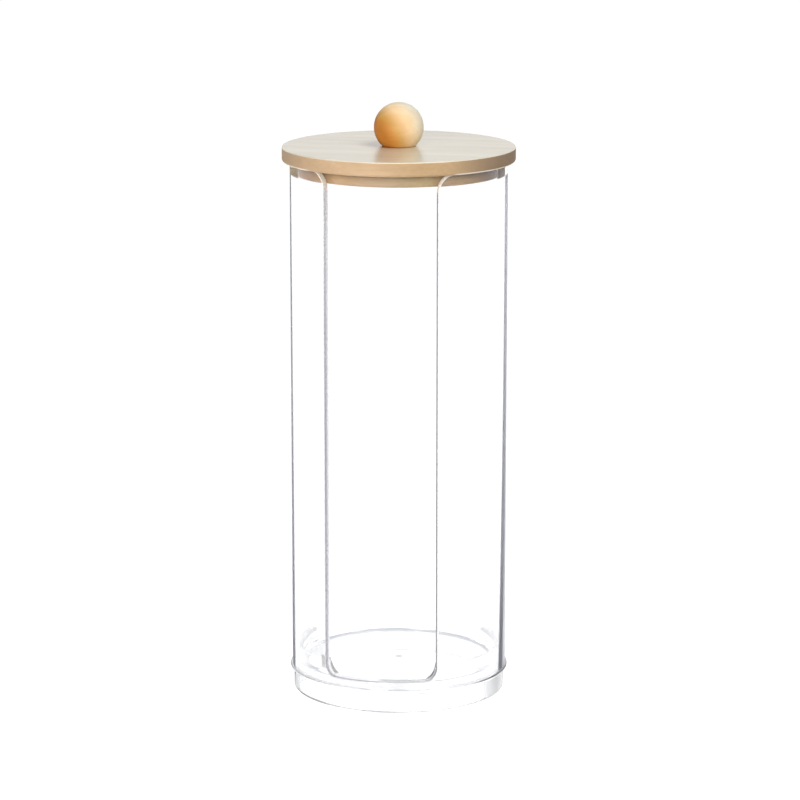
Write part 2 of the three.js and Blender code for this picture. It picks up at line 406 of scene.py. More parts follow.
cutLook = {
    # Painted light and shade across each slot face, from its inner edge to its outer one
    "leftShape": [
        (0.0, tone(250, 250, 254)),
        (0.36, tone(238, 238, 244)),
        (0.46, tone(192, 192, 198)),
        (0.72, tone(186, 186, 192)),
        (0.8, tone(150, 150, 156)),
        (0.86, tone(160, 160, 166)),
        (1.0, tone(214, 214, 218)),
    ],
    "rightShape": [
        (0.0, tone(100, 100, 106)),
        (0.5, tone(112, 112, 118)),
        (0.66, tone(248, 248, 250)),
        (1.0, tone(254, 254, 255)),
    ],
    "paleLeft": tone(252, 252, 254),
    "paleShare": 0.6,
    "paleLow": rimHeight - 50 * mm,
    "sillTop": sillHeight + 0.2 * mm,
    "sideLow": sillHeight + 1.5 * mm,
    "sillShare": 0.45,
    # Painted shade where the collar's end meets the lower corner
    "patch": tone(166, 166, 163),
    "patchLow": sillHeight + 0.1 * mm,
    "patchHigh": sillHeight + 0.5 * mm,
    "patchDepth": (tubeInner - 0.1 * mm, tubeInner - 0.3 * mm),
    # Painted reflection of the wood where the faces turn into the rim
    "corner": [
        (0.0, tone(120, 96, 70)),
        (0.16, tone(246, 232, 216)),
        (0.6, tone(254, 246, 238)),
        (1.0, tone(252, 240, 228)),
    ],
    "cornerLow": rimHeight - 7.0 * mm,
    "cornerHigh": rimHeight - 4.0 * mm,
    "blur": 0.4,
    "blurFacing": (0.3, 0.95),
    "clarity": 0.2,
    "bending": 1.49,
    "waveScale": 260.0,
    "scuffScale": 1500.0,
    "scuffRange": (0.35, 0.7),
    "polish": 0.22,
    "scuffs": 0.2,
    "waveStrength": 0.4,
    "waveDepth": 0.1 * mm,
    "shadow": tone(235, 240, 244),
}


# The outline's grey line is painted reflection where the wall is seen edge on; it widens towards the foot,
# most on the right, where its outer part turns pale, and painted shade greys the right side low down;
# at the rim the plug's wood is painted in its place as painted reflection, over painted shade where the
# plug is seen through the wall, and painted shade beside the slot's left foot stands in for the collar's
# end
def paintWall(tree, place, facing, look):
    drop = ramp(tree, place["Height"], rimHeight, seatHeight, kind="LINEAR")
    right = rightHalf(tree, place)
    left = oneMinus(tree, right)
    widenLeft = product(tree, drop, look["leftWidenAtFoot"], left)
    widenRight = math2(tree, "ADD", product(tree, drop, drop, look["rightWidenAtFoot"]), look["rightWiden"])
    widen = math2(tree, "ADD", widenLeft, product(tree, widenRight, right))
    edgeOn = math2(tree, "ADD", facing, widen)
    atPlug = ramp(tree, place["Height"], look["woodLow"], look["woodHigh"])
    line = product(tree, ramp(tree, edgeOn, look["lineStart"], look["lineFull"]), oneMinus(tree, atPlug))
    pale = product(tree, ramp(tree, edgeOn, look["paleStart"], look["paleFull"]), right)
    grey = mixColour(tree, drop, look["lineAtRim"], look["lineAtFoot"])
    grey = mixColour(tree, pale, grey, look["linePale"])
    lowShade = product(tree, ramp(tree, facing, look["lowShadeStart"], look["lowShadeFull"]), right,
                   ramp(tree, place["Height"], look["lowShadeHigh"], look["lowShadeLow"]))
    colour = mixColour(tree, line, mixColour(tree, lowShade, look["clear"], look["lowShade"]), grey)
    collarShade = product(tree, left, ramp(tree, place["Across"], *look["collarShadeAside"]),
                     ramp(tree, place["Depth"], *look["collarShadeFront"]),
                     ramp(tree, place["Height"], *look["collarShadeFoot"]),
                     ramp(tree, place["Height"], *look["collarShadeTop"]))
    colour = mixColour(tree, collarShade, colour, look["collarShade"])
    outside = product(tree, ramp(tree, facing, look["woodEnd"], look["woodGone"]), right)
    inner = product(tree, atPlug, oneMinus(tree, outside))
    seen = mixColour(tree, right, look["plugSeenLeft"], look["plugSeenRight"])
    colour = mixColour(tree, inner, colour, seen)
    turned = math2(tree, "ADD", facing, product(tree, right, look["woodWiden"]))
    wood = product(tree, ramp(tree, turned, look["woodStart"], look["woodFull"]), inner)
    colour = mixColour(tree, wood, colour, mixColour(tree, right, look["plugReflectionLeft"], look["plugReflectionRight"]))
    sharp = oneMinus(tree, product(tree, pale, look["paleSharpness"]))
    return colour, math2(tree, "MAXIMUM", product(tree, line, sharp), wood)


# The slot's faces carry painted light and shade: grey towards the outside, pale inside, and warm with a
# painted reflection of the wood where they turn into the rim;
# the left one is paler near the rim, and greyed by painted shade where the collar's end meets the lower
# corner
def paintCut(tree, place, facing, look):
    depth = ramp(tree, place["Radius"], tubeInner, tubeOuter, kind="LINEAR")
    onSide = ramp(tree, place["Height"], look["sillTop"], look["sideLow"], look["sillShare"], 1.0)
    right = product(tree, rightHalf(tree, place), onSide)
    leftShape = colourBar(tree, depth, look["leftShape"])
    faded = ramp(tree, place["Height"], look["paleLow"], rimHeight, 0.0, look["paleShare"], "LINEAR")
    leftShape = mixColour(tree, faded, leftShape, look["paleLeft"])
    atCollar = product(tree, ramp(tree, place["Radius"], *look["patchDepth"]),
                       ramp(tree, place["Height"], look["patchLow"], look["patchHigh"]))
    leftShape = mixColour(tree, atCollar, leftShape, look["patch"])
    shape = mixColour(tree, right, leftShape, colourBar(tree, depth, look["rightShape"]))
    corner = ramp(tree, place["Height"], look["cornerLow"], look["cornerHigh"])
    colour = mixColour(tree, corner, shape, colourBar(tree, depth, look["corner"]))
    return colour, ramp(tree, facing, *look["blurFacing"], 0.0, look["blur"])


# Half of the slot's outline and the rim behind it, laid flat: (along the wall, height)
def slotPath(inset):
    lower = tubeSpec["lowerCorner"]
    upper = tubeSpec["upperCorner"]
    steps = tubeSpec["cornerSteps"]
    sill = [(s, sillHeight - inset) for s in spread(0, slotHalfArc - lower, tubeSpec["sillSteps"])[:-1]]
    lowerBend = roundEdge(slotHalfArc - lower, sillHeight + lower, lower + inset, -90, 0, steps)
    sideHeights = spread(sillHeight + lower, rimHeight - upper, tubeSpec["sideSteps"])[1:-1]
    side = [(slotHalfArc + inset, z) for z in sideHeights]
    upperBend = roundEdge(slotHalfArc + upper, rimHeight - upper, upper - inset, 180, 90, steps)
    backArc = math.pi * tubeOuter
    rim = [(s, rimHeight - inset) for s in spread(slotHalfArc + upper, backArc, tubeSpec["rimSteps"])[1:]]
    return sill, lowerBend, side, upperBend, rim


def wallVertex(bm, point, radius):
    return bm.verts.new(around(point[0] / tubeOuter, radius, point[1]))


# One face of the wall, as columns that stand on the bottom edge and end at the slot or the rim
def addWall(bm, radius, inset, paint):
    sill, lowerBend, side, upperBend, rim = slotPath(inset)
    rows = tubeSpec["lowRows"]
    bottom = seatHeight + tubeSpec["footRound"]
    columns = []
    path = []
    for point in sill + lowerBend[:-1]:
        heights = spread(bottom, point[1], rows)
        column = [wallVertex(bm, (point[0], z), radius) for z in heights]
        columns.append(column)
        path.append(column[-1])
    shared = spread(bottom, lowerBend[-1][1], rows) + [z for s, z in side] + [upperBend[0][1]]
    edgeColumn = [wallVertex(bm, (lowerBend[-1][0], z), radius) for z in shared]
    path.extend(edgeColumn[rows:])
    columns.append(edgeColumn)
    for point in upperBend[1:] + rim:
        column = [wallVertex(bm, (point[0], z), radius) for z in shared + [point[1]]]
        columns.append(column)
        path.append(column[-1])
    for first, second in zip(columns, columns[1:]):
        count = min(len(first), len(second))
        bridgeRows(bm, first[:count], second[:count], paint)
        if count > rows + 1 and len(second) > count:
            bridgeRows(bm, [first[-1], first[-1]], second[-2:], paint)
    return [c[0] for c in columns], path


# (radius, depth) of the rows that round a wall's end over, from its inner face to its outer one
def endRows(rounding):
    steps = tubeSpec["edgeSteps"]
    innerTurn = roundEdge(tubeInner + rounding, rounding, rounding, 180, 270, steps)
    outerTurn = roundEdge(tubeOuter - rounding, rounding, rounding, 270, 360, steps)
    return innerTurn[1:] + outerTurn[:-1]


def makeTube():
    bm = bmesh.new()
    outside, inside, cut = range(3)
    inset = tubeSpec["edgeRound"]
    innerFoot, innerPath = addWall(bm, tubeInner, inset, inside)
    outerFoot, outerPath = addWall(bm, tubeOuter, inset, outside)
    before = innerPath
    for radius, depth in endRows(inset):
        row = [wallVertex(bm, p, radius) for part in slotPath(depth) for p in part]
        bridgeRows(bm, before, row, cut)
        before = row
    bridgeRows(bm, before, outerPath, cut)
    before = innerFoot
    sill, lowerBend, side, upperBend, rim = slotPath(inset)
    footArcs = [p[0] for p in sill + lowerBend + upperBend[1:] + rim]
    for radius, depth in endRows(tubeSpec["footRound"]):
        row = [wallVertex(bm, (s, seatHeight + depth), radius) for s in footArcs]
        bridgeRows(bm, before, row, inside)
        before = row
    bridgeRows(bm, before, outerFoot, inside)
    half = bm.verts[:] + bm.edges[:] + bm.faces[:]
    bmesh.ops.mirror(bm, geom=half, axis="X", merge_dist=weldDistance)
    paints = [
        makeClear("clearWall", wallLook, paintWall),
        makeClear("clearWallInside", insideLook, paintFaint),
        cutPlastic,
    ]
    finishPiece("tube_shell", bm, paints, "holder", ["clear_tube"])


cutPlastic = makeClear("cutFace", cutLook, paintCut)
makeTube()

# Clear base: foot ring, flange, floor, and a tapered collar inside the tube
baseLow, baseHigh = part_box("base_cup")
lipHeight = baseHigh.z
baseSpec = {
    "footStep": 0.5 * mm,
    "footHeight": 6.5 * mm,
    "footWall": 2.0 * mm,
    "footRound": 0.4 * mm,
    "flangeRound": 0.3 * mm,
    "flangeDrop": 0.05 * mm,
    "floorRise": 1.4 * mm,
    "floorThickness": 1.6 * mm,
    "floorRound": 0.7 * mm,
    "collarGap": 0.15 * mm,
    "collarFoot": 1.85 * mm,
    "collarLip": 0.12 * mm,
    "collarBend": 0.36,
    "lipRound": 0.04 * mm,
    "gateRadius": 1.2 * mm,
    "gateFloor": 0.6 * mm,
    "gateDepth": 0.1 * mm,
    "edgeSteps": 5,
    "collarSteps": 10,
    "roundSteps": 120,
    "behindFrom": -0.1,  # cosine of the angle from the slot
}
baseLook = dict(
    wallLook,
    line=tone(50, 52, 58),
    lineStart=0.8,
    lineFull=0.97,
    lineBlur=0.8,
    upperEdge=(seatHeight - 0.5 * mm, seatHeight - 0.2 * mm),
    lowerEdge=(seatHeight - 0.4 * mm, seatHeight - 0.6 * mm),
    lowerEdgeEnd=seatHeight - 1.05 * mm,
    sideStart=17 * mm,
    sideFull=22 * mm,
    # Shares along the base of the painted reflection lines, and of the painted shade over the foot's ends
    flangeShares=[
        (0.0, 1.0), (0.043, 0.4), (0.086, 0.4), (0.206, 0.2), (0.321, 0.08), (0.414, 0.16),
        (0.509, 0.4), (0.6, 0.3), (0.743, 0.4), (0.837, 0.3), (0.907, 0.36), (0.936, 0.85), (0.986, 1.0),
    ],
    footEdge=(1.0 * mm, 0.6 * mm),
    footShares=[
        (0.014, 0.6), (0.043, 0.75), (0.086, 0.85), (0.214, 0.8), (0.279, 0.4), (0.314, 0.0),
        (0.407, 0.0), (0.436, 0.35), (0.5, 0.6), (0.564, 0.35), (0.593, 0.0), (0.664, 0.08), (0.7, 0.2),
        (0.743, 0.08), (0.786, 0.0),
    ],
    lowShadeShares=[(0.0, 0.5), (0.06, 0.34), (0.08, 0.0), (0.9, 0.0), (0.94, 0.3), (0.985, 0.5), (1.0, 0.1)],
    footTop=(seatHeight - 1.0 * mm, seatHeight - 1.4 * mm),
    frontShare=0.3,
    endStart=8 * mm,
    endFull=33 * mm,
)
baseBackLook = dict(baseLook, footShares=[(0.0, 0.1), (1.0, 0.1)])
mouldLook = dict(insideLook, line=tone(212, 214, 219), lineBlur=0.4)
cornerLook = dict(insideLook, line=tone(164, 167, 173), lineBlur=0.3, arcEnd=30.5 * mm, arcFull=27 * mm)
gateLook = dict(insideLook, clear=tone(190, 190, 188), polish=0.25, scuffs=0.3)


# A share along the base from its left end to its right one, from a table of (place, share)
def shareAcross(tree, place, shares):
    along = ramp(tree, place["Across"], -tubeOuter, tubeOuter, kind="LINEAR")
    return colourBar(tree, along, [(at, (share, share, share, 1)) for at, share in shares])


# Painted reflection lines on the flange's upper edge at the sides and its lower edge in front, and on the
# foot, and painted shade over the foot's two ends
def paintBase(tree, place, facing, look):
    aside = sideways(tree, place)
    side = ramp(tree, aside, look["sideStart"], look["sideFull"])
    upper = product(tree, ramp(tree, place["Height"], *look["upperEdge"]), side)
    lower = product(tree, ramp(tree, place["Height"], *look["lowerEdge"]), oneMinus(tree, side),
                    math2(tree, "GREATER_THAN", place["Height"], look["lowerEdgeEnd"]))
    flange = product(tree, math2(tree, "ADD", upper, lower), shareAcross(tree, place, look["flangeShares"]))
    foot = product(tree, ramp(tree, place["Height"], *look["footEdge"]),
                   shareAcross(tree, place, look["footShares"]))
    onFoot = ramp(tree, place["Height"], *look["footTop"])
    lowShade = product(tree, onFoot, shareAcross(tree, place, look["lowShadeShares"]))
    line = product(tree, ramp(tree, facing, look["lineStart"], look["lineFull"]),
                   ramp(tree, aside, look["endStart"], look["endFull"], look["frontShare"], 1.0),
                   oneMinus(tree, product(tree, onFoot, rightHalf(tree, place))))
    for mark in (flange, foot, lowShade):
        line = math2(tree, "MAXIMUM", line, mark)
    colour = mixColour(tree, line, look["clear"], look["line"])
    return colour, product(tree, line, look["lineBlur"])


# The floor's round corner shows as a soft arc of painted reflection that fades at its two ends
def paintCorner(tree, place, facing, look):
    arc = ramp(tree, sideways(tree, place), look["arcEnd"], look["arcFull"])
    colour = mixColour(tree, arc, look["clear"], look["line"])
    return colour, product(tree, arc, look["lineBlur"])


# The collar's inner radius at a height: upright at its foot, then a curve out to its thin lip
def collarRadius(height):
    outer = tubeInner - baseSpec["collarGap"]
    foot = outer - baseSpec["collarFoot"]
    lip = outer - baseSpec["collarLip"]
    cornerTop = seatHeight + baseSpec["floorRise"] + baseSpec["floorRound"]
    share = (height - cornerTop) / (lipHeight - cornerTop)
    bend = baseSpec["collarBend"]
    along = (math.sqrt(bend * bend + (1 - 2 * bend) * share) - bend) / (1 - 2 * bend)
    return foot + (lip - foot) * along * along


# A section of the base where its collar ends at a height, and the paint of each of its stretches
def baseSection(top):
    footOuter = tubeOuter - baseSpec["footStep"]
    footInner = footOuter - baseSpec["footWall"]
    footRound = baseSpec["footRound"]
    footHeight = baseSpec["footHeight"]
    flangeOuter = baseHigh.x
    flangeRound = baseSpec["flangeRound"]
    flangeTop = seatHeight - baseSpec["flangeDrop"]
    floorTop = seatHeight + baseSpec["floorRise"]
    underside = floorTop - baseSpec["floorThickness"]
    floorRound = baseSpec["floorRound"]
    collarOuter = tubeInner - baseSpec["collarGap"]
    collarFoot = collarOuter - baseSpec["collarFoot"]
    cornerTop = floorTop + floorRound
    lipRound = baseSpec["lipRound"]
    steps = baseSpec["edgeSteps"]
    shoulder = top - lipRound
    heights = [min(z, shoulder) for z in spread(lipHeight - lipRound, cornerTop, baseSpec["collarSteps"])]
    flangeMiddle = flangeOuter - flangeRound
    stretches = [
        ("mould", [(0, underside), (footInner - footRound, underside)]),
        ("mould", roundEdge(footInner - footRound, underside - footRound, footRound, 90, 0, steps)),
        ("mould", roundEdge(footInner + footRound, footRound, footRound, 180, 270, steps)),
        ("outside", roundEdge(footOuter - footRound, footRound, footRound, 270, 360, steps)),
        ("outside", [(footOuter, footHeight)]),
        ("outside", roundEdge(flangeMiddle, footHeight + flangeRound, flangeRound, 270, 360, steps)),
        ("outside", roundEdge(flangeMiddle, flangeTop - flangeRound, flangeRound, 0, 90, steps)),
        ("mould", [(collarOuter, flangeTop), (collarOuter, shoulder)]),
        ("cut", [(collarOuter - lipRound, top), (collarRadius(shoulder) + lipRound, top)]),
        ("mould", [(collarRadius(z), z) for z in heights]),
        ("corner", roundEdge(collarFoot - floorRound, cornerTop, floorRound, 0, -90, steps)[1:]),
        ("mould", [(baseSpec["gateRadius"], floorTop)]),
        ("gate", [(baseSpec["gateFloor"], floorTop - baseSpec["gateDepth"])]),
        ("gate", [(0, floorTop - baseSpec["gateDepth"])]),
    ]
    points = [point for name, part in stretches for point in part]
    names = [name for name, part in stretches for point in part]
    return points, names


def makeBase():
    bm = bmesh.new()
    sill, lowerBend, side, upperBend, rim = slotPath(0)
    wall = spread(slotHalfArc, math.pi * tubeOuter, baseSpec["roundSteps"])
    stations = sill + lowerBend + [(s, lipHeight) for s in wall]
    half = [(s / tubeOuter, z) for s, z in stations]
    turn = half + [(-a, z) for a, z in half[-2:0:-1]]
    sections = [baseSection(top) for angle, top in turn]
    order = ["mould", "outside", "behind", "cut", "corner", "gate"]

    def paint(column, row):
        name = sections[column][1][row + 1]
        inFront = turn[column][1] < lipHeight
        if (name == "cut" and not inFront) or (name == "corner" and inFront):
            name = "mould"
        if name == "outside" and math.cos(turn[column][0]) < baseSpec["behindFrom"]:
            name = "behind"
        return order.index(name)

    angles = [angle for angle, top in turn]
    addTurned(bm, angles, [points for points, names in sections], paint, ring=False)
    paints = [
        makeClear("clearMould", mouldLook, paintFaint),
        makeClear("clearBase", baseLook, paintBase),
        makeClear("clearBaseBack", baseBackLook, paintBase),
        cutPlastic,
        makeClear("floorCorner", cornerLook, paintCorner),
        makeClear("frostedGate", gateLook, paintFaint),
    ]
    finishPiece("base_moulding", bm, paints, "holder", ["base_cup"])


makeBase()


# Wood with growth bands, fibres and a finish; tint repaints it by place
def makeWood(name, look, tint):
    material, tree, shader, output = newMaterial(name)
    grain = placeGroup(tree, sawnGrain, Band_Scale=look["bandScale"], Fibre_Scale=look["fibreScale"],
                       Stretch=look["stretch"], Sway=look["sway"])
    bands = ramp(tree, grain.outputs["Bands"], *look["bandRange"], kind="LINEAR")
    fibres = ramp(tree, grain.outputs["Fibres"], *look["fibreRange"], 0.0, look["fibreShare"], "LINEAR")
    wood = mixColour(tree, bands, look["dark"], look["pale"])
    wood = mixColour(tree, fibres, wood, look["fibre"])
    tree.links.new(tint(tree, wood, look), shader.inputs["Base Color"])
    smooth = look["roughness"] - look["roughSpread"]
    rough = look["roughness"] + look["roughSpread"]
    tree.links.new(ramp(tree, grain.outputs["Fibres"], 0.0, 1.0, smooth, rough, "LINEAR"),
                   shader.inputs["Roughness"])
    bump = addNode(tree, "ShaderNodeBump")
    setInputs(bump, Strength=look["bumpStrength"], Distance=look["bumpDepth"])
    tree.links.new(grain.outputs["Fibres"], bump.inputs["Height"])
    tree.links.new(bump.outputs["Normal"], shader.inputs["Normal"])
    setInputs(shader, Coat_Weight=look["coat"], Coat_Roughness=look["coatRoughness"])
    setInputs(shader, Specular_IOR_Level=look["specular"])
    tree.links.new(shader.outputs[0], output.inputs["Surface"])
    return material


# Wooden lid: an overhanging disc, and a plug under it that drops into the tube
discLow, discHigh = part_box("lid_disc")
knobLow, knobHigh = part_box("ball_knob")
screwLow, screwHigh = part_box("knob_screw")
lidSpec = {
    "screwGap": 0.3 * mm,
    "threadRadius": 1.55 * mm,
    "screwTip": 2.2 * mm,
    "screwHead": 1.8 * mm,
    "screwHeadRim": 0.3 * mm,
    "topRound": 0.3 * mm,
    "lowerRound": 0.9 * mm,
    "plugRound": 0.6 * mm,
    "edgeSteps": 6,
    "roundSteps": 192,
    "knobSteps": 96,
    "knobRings": 40,
}
woodLook = {
    "bandRange": (0.3, 0.7),
    "fibreRange": (0.35, 0.65),
    "fibreScale": 1400.0,
    "roughSpread": 0.06,
    "bumpDepth": 0.05 * mm,
}
faceLook = {
    **woodLook,
    "dark": tone(213, 201, 176),
    "pale": tone(234, 225, 202),
    "fibre": tone(205, 193, 167),
    "bandScale": 120.0,
    "stretch": 0.05,
    "sway": 0.4,
    "fibreShare": 0.4,
    "roughness": 0.45,
    "bumpStrength": 0.12,
    "coat": 1.0,
    "coatRoughness": 0.26,
    "specular": 0.5,
}
sideLook = dict(
    faceLook,
    dark=tone(191, 160, 124),
    pale=tone(208, 178, 144),
    fibre=tone(182, 151, 115),
    # End grain at the two ends, with painted shade deepening it on the right and darkening the right half
    endGrain=tone(170, 148, 124),
    endGrainAndShadeRight=tone(116, 100, 90),
    rightShade=tone(237, 235, 226),
    rightStart=-4 * mm,
    rightFull=14 * mm,
    endStart=0.5,
    endFull=0.95,
    endShare=0.6,
    # Painted highlight along the lower edge over the tube's wall
    rimGlow=tone(254, 240, 222),
    rimGlowHeight=(discLow.z + 0.6 * mm, discLow.z + 0.4 * mm),
    rimGlowRadius=(tubeOuter, tubeOuter + 1 * mm),
    rimGlowAside=(22 * mm, 25 * mm),
    roughness=0.65,
    coat=0.0,
    specular=0.2,
)
plugLook = dict(
    sideLook,
    dark=tone(191, 168, 141),
    pale=tone(208, 188, 162),
    fibre=tone(182, 159, 130),
    # Painted shade along the plug, darker at its two sides
    shades=[
        (0.043, tone(188, 158, 132)), (0.229, tone(190, 172, 154)), (0.286, tone(246, 230, 212)),
        (0.5, tone(244, 240, 238)), (0.714, tone(255, 255, 248)), (0.771, tone(222, 212, 202)),
        (0.9, tone(236, 216, 182)), (0.95, tone(156, 122, 90)),
    ],
)
knobLook = {
    **woodLook,
    "dark": tone(234, 222, 204),
    "pale": tone(251, 249, 246),
    "fibre": tone(228, 214, 194),
    "bandScale": 160.0,
    "stretch": 0.15,
    "sway": 0.6,
    "fibreShare": 0.3,
    "roughness": 0.55,
    "bumpStrength": 0.15,
    "coat": 0.0,
    "coatRoughness": 0.2,
    "specular": 0.25,
    # Painted light and shade along an axis through the ball: pale upper right, honey brown lower left
    "shade": [
        (0.05, tone(196, 128, 50)),
        (0.15, tone(212, 150, 74)),
        (0.25, tone(217, 176, 107)),
        (0.35, tone(237, 201, 152)),
        (0.45, tone(248, 222, 182)),
        (0.55, tone(252, 232, 196)),
        (0.65, tone(254, 242, 216)),
        (0.8, tone(255, 252, 238)),
    ],
    "shadeAxis": (0.66, 0.6, 0.45),
    # Painted shade in orange on the ball's left side
    "leftShade": tone(200, 128, 74),
    "leftShadeAxis": (-0.98, -0.18, 0.0),
    "leftShadeStart": 0.8,
    "leftShadeFull": 0.98,
}


def tintNothing(tree, wood, look):
    return wood


# The side turns to end grain at the left and right; painted shade darkens its right half and deepens its
# right end, and a painted highlight brightens its lower edge over the tube's wall
def tintSide(tree, wood, look):
    place = placeGroup(tree, bodyPlace).outputs
    aside = sideways(tree, place)
    ends = ramp(tree, aside, look["endStart"] * discHigh.x, look["endFull"] * discHigh.x)
    right = ramp(tree, place["Across"], look["rightStart"], look["rightFull"])
    wood = mixColour(tree, right, wood, look["rightShade"], "MULTIPLY")
    endGrain = mixColour(tree, right, look["endGrain"], look["endGrainAndShadeRight"])
    wood = mixColour(tree, ends, wood, mixColour(tree, look["endShare"], wood, endGrain))
    glow = product(tree, ramp(tree, place["Height"], *look["rimGlowHeight"]),
                   ramp(tree, place["Radius"], *look["rimGlowRadius"]),
                   ramp(tree, aside, *look["rimGlowAside"]))
    return mixColour(tree, glow, wood, look["rimGlow"])


# How far a point lies along an axis through the ball's centre, from -1 to 1
def alongBall(tree, axis):
    radius = knobHigh.x
    place = addNode(tree, "ShaderNodeTexCoord")
    offset = addNode(tree, "ShaderNodeVectorMath", operation="SUBTRACT")
    tree.links.new(place.outputs["Object"], offset.inputs[0])
    offset.inputs[1].default_value = (0, 0, knobHigh.z - radius)
    dot = addNode(tree, "ShaderNodeVectorMath", operation="DOT_PRODUCT")
    tree.links.new(offset.outputs[0], dot.inputs[0])
    dot.inputs[1].default_value = [value / radius for value in axis]
    return dot.outputs["Value"]


# The ball's light and shade are painted into its colour: painted light pale on its upper right, painted
# shade honey brown on its lower left, and orange painted shade on its left side
def tintKnob(tree, wood, look):
    up = ramp(tree, alongBall(tree, look["shadeAxis"]), -1.0, 1.0, kind="LINEAR")
    shade = colourBar(tree, up, look["shade"])
    leftShade = ramp(tree, alongBall(tree, look["leftShadeAxis"]), look["leftShadeStart"], look["leftShadeFull"])
    return mixColour(tree, 1.0, wood, mixColour(tree, leftShade, shade, look["leftShade"]), "MULTIPLY")


# Painted shade makes the plug darker at the two sides, where it stands behind the wall
def tintPlug(tree, wood, look):
    place = placeGroup(tree, bodyPlace).outputs
    along = ramp(tree, place["Across"], -tubeOuter, tubeOuter, kind="LINEAR")
    shade = colourBar(tree, along, look["shades"])
    return mixColour(tree, 1.0, tintSide(tree, wood, look), shade, "MULTIPLY")


lidFace = makeWood("lidFace", faceLook, tintNothing)
lidSide = makeWood("lidSide", sideLook, tintSide)
plugSide = makeWood("plugSide", plugLook, tintPlug)
knobWood = makeWood("knobWood", knobLook, tintKnob)


# Turns one section all the way round the axis
def makeTurned(name, section, paint, paints, node, ring, steps):
    bm = bmesh.new()
    angles = [i / steps * 2 * math.pi for i in range(steps)]
    addTurned(bm, angles, [section] * steps, paint, ring)
    finishPiece(name, bm, paints, "lid", [node])


def makeDisc():
    lower = lidSpec["lowerRound"]
    upper = lidSpec["topRound"]
    steps = lidSpec["edgeSteps"]
    hole = lidSpec["threadRadius"] + lidSpec["screwGap"]
    lowerEdge = roundEdge(discHigh.x - lower, discLow.z + lower, lower, -90, 0, steps)
    upperEdge = roundEdge(discHigh.x - upper, discHigh.z - upper, upper, 0, 90, steps)
    section = [(hole, discLow.z), *lowerEdge, *upperEdge, (hole, discHigh.z)]
    sideRows = range(1, len(lowerEdge) + 1)
    makeTurned("disc_board", section, lambda column, row: int(row in sideRows), [lidFace, lidSide],
               "lid_disc", True, lidSpec["roundSteps"])


def makePlug():
    edge = lidSpec["plugRound"]
    gap = lidSpec["screwGap"]
    hole = lidSpec["threadRadius"] + gap
    section = [
        (hole, screwLow.z + lidSpec["screwHead"]),
        (screwHigh.x + gap, screwLow.z + lidSpec["screwHeadRim"]),
        (screwHigh.x + gap, plugLow.z),
        *roundEdge(plugHigh.x - edge, plugLow.z + edge, edge, -90, 0, lidSpec["edgeSteps"]),
        (plugHigh.x, plugHigh.z),
        (hole, plugHigh.z),
    ]
    makeTurned("plug_board", section, lambda column, row: 0, [plugSide],
               "lid_plug", True, lidSpec["roundSteps"])


def makeKnob():
    radius = knobHigh.x
    centre = knobHigh.z - radius
    flatAngle = math.degrees(math.asin((knobLow.z - centre) / radius))
    hole = lidSpec["threadRadius"] + lidSpec["screwGap"]
    holeEnd = screwHigh.z + lidSpec["screwGap"]
    section = [
        (0, holeEnd),
        (hole, holeEnd - lidSpec["screwTip"]),
        (hole, knobLow.z),
        *roundEdge(0, centre, radius, flatAngle, 90, lidSpec["knobRings"]),
    ]
    makeTurned("knob_ball", section, lambda column, row: 0, [knobWood],
               "ball_knob", False, lidSpec["knobSteps"])


makeDisc()
makePlug()
makeKnob()

# Zinc-plated screw
zincLook = {
    "dark": tone(168, 172, 178),
    "pale": tone(202, 205, 208),
    "spangleScale": 900.0,
    "spangleDetail": 3.0,
    "spangleRange": (0.35, 0.65),
    "roughRange": (0.3, 0.7),
    "roughness": (0.25, 0.42),
    "bumpStrength": 0.2,
    "bumpDepth": 0.02 * mm,
}


def makeZinc(look):
    material, tree, shader, output = newMaterial("zincPlate")
    place = addNode(tree, "ShaderNodeTexCoord")
    spangle = addNode(tree, "ShaderNodeTexNoise")
    setInputs(spangle, Scale=look["spangleScale"], Detail=look["spangleDetail"])
    tree.links.new(place.outputs["Object"], spangle.inputs["Vector"])
    spots = ramp(tree, spangle.outputs["Fac"], *look["spangleRange"], kind="LINEAR")
    tree.links.new(mixColour(tree, spots, look["dark"], look["pale"]), shader.inputs["Base Color"])
    rough = ramp(tree, spangle.outputs["Fac"], *look["roughRange"], *look["roughness"], "LINEAR")
    tree.links.new(rough, shader.inputs["Roughness"])
    bump = addNode(tree, "ShaderNodeBump")
    setInputs(bump, Strength=look["bumpStrength"], Distance=look["bumpDepth"])
    tree.links.new(spangle.outputs["Fac"], bump.inputs["Height"])
    tree.links.new(bump.outputs["Normal"], shader.inputs["Normal"])
    setInputs(shader, Metallic=1.0)
    tree.links.new(shader.outputs[0], output.inputs["Surface"])
    return material


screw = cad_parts["knob_screw"]
screw.data.materials.clear()
screw.data.materials.append(makeZinc(zincLook))
print("knob_screw: zinc plated")

# Studio
studioSpec = {
    "floorSize": 12.0,
    "floorWhite": tone(255, 255, 255),
    "floorColour": tone(235, 235, 235),
    "floorGlow": 0.975,
    "floorShare": 0.2,
    "worldSeen": 1.0,
    "worldFill": 0.2,
    "flagRange": (0.5, 0.85),
    "flagShare": 0.15,
    "aim": (0.0, 0.0, 0.11),
    "lightBounces": 256,
    "shadowBounces": 32,
}
lamps = [
    {"name": "keyPanel", "azimuth": -12, "elevation": 7, "distance": 1.3, "size": 0.5, "strength": 0.74},
    {"name": "topPanel", "azimuth": 60, "elevation": 56, "distance": 1.2, "size": 0.6, "strength": 0.58},
]


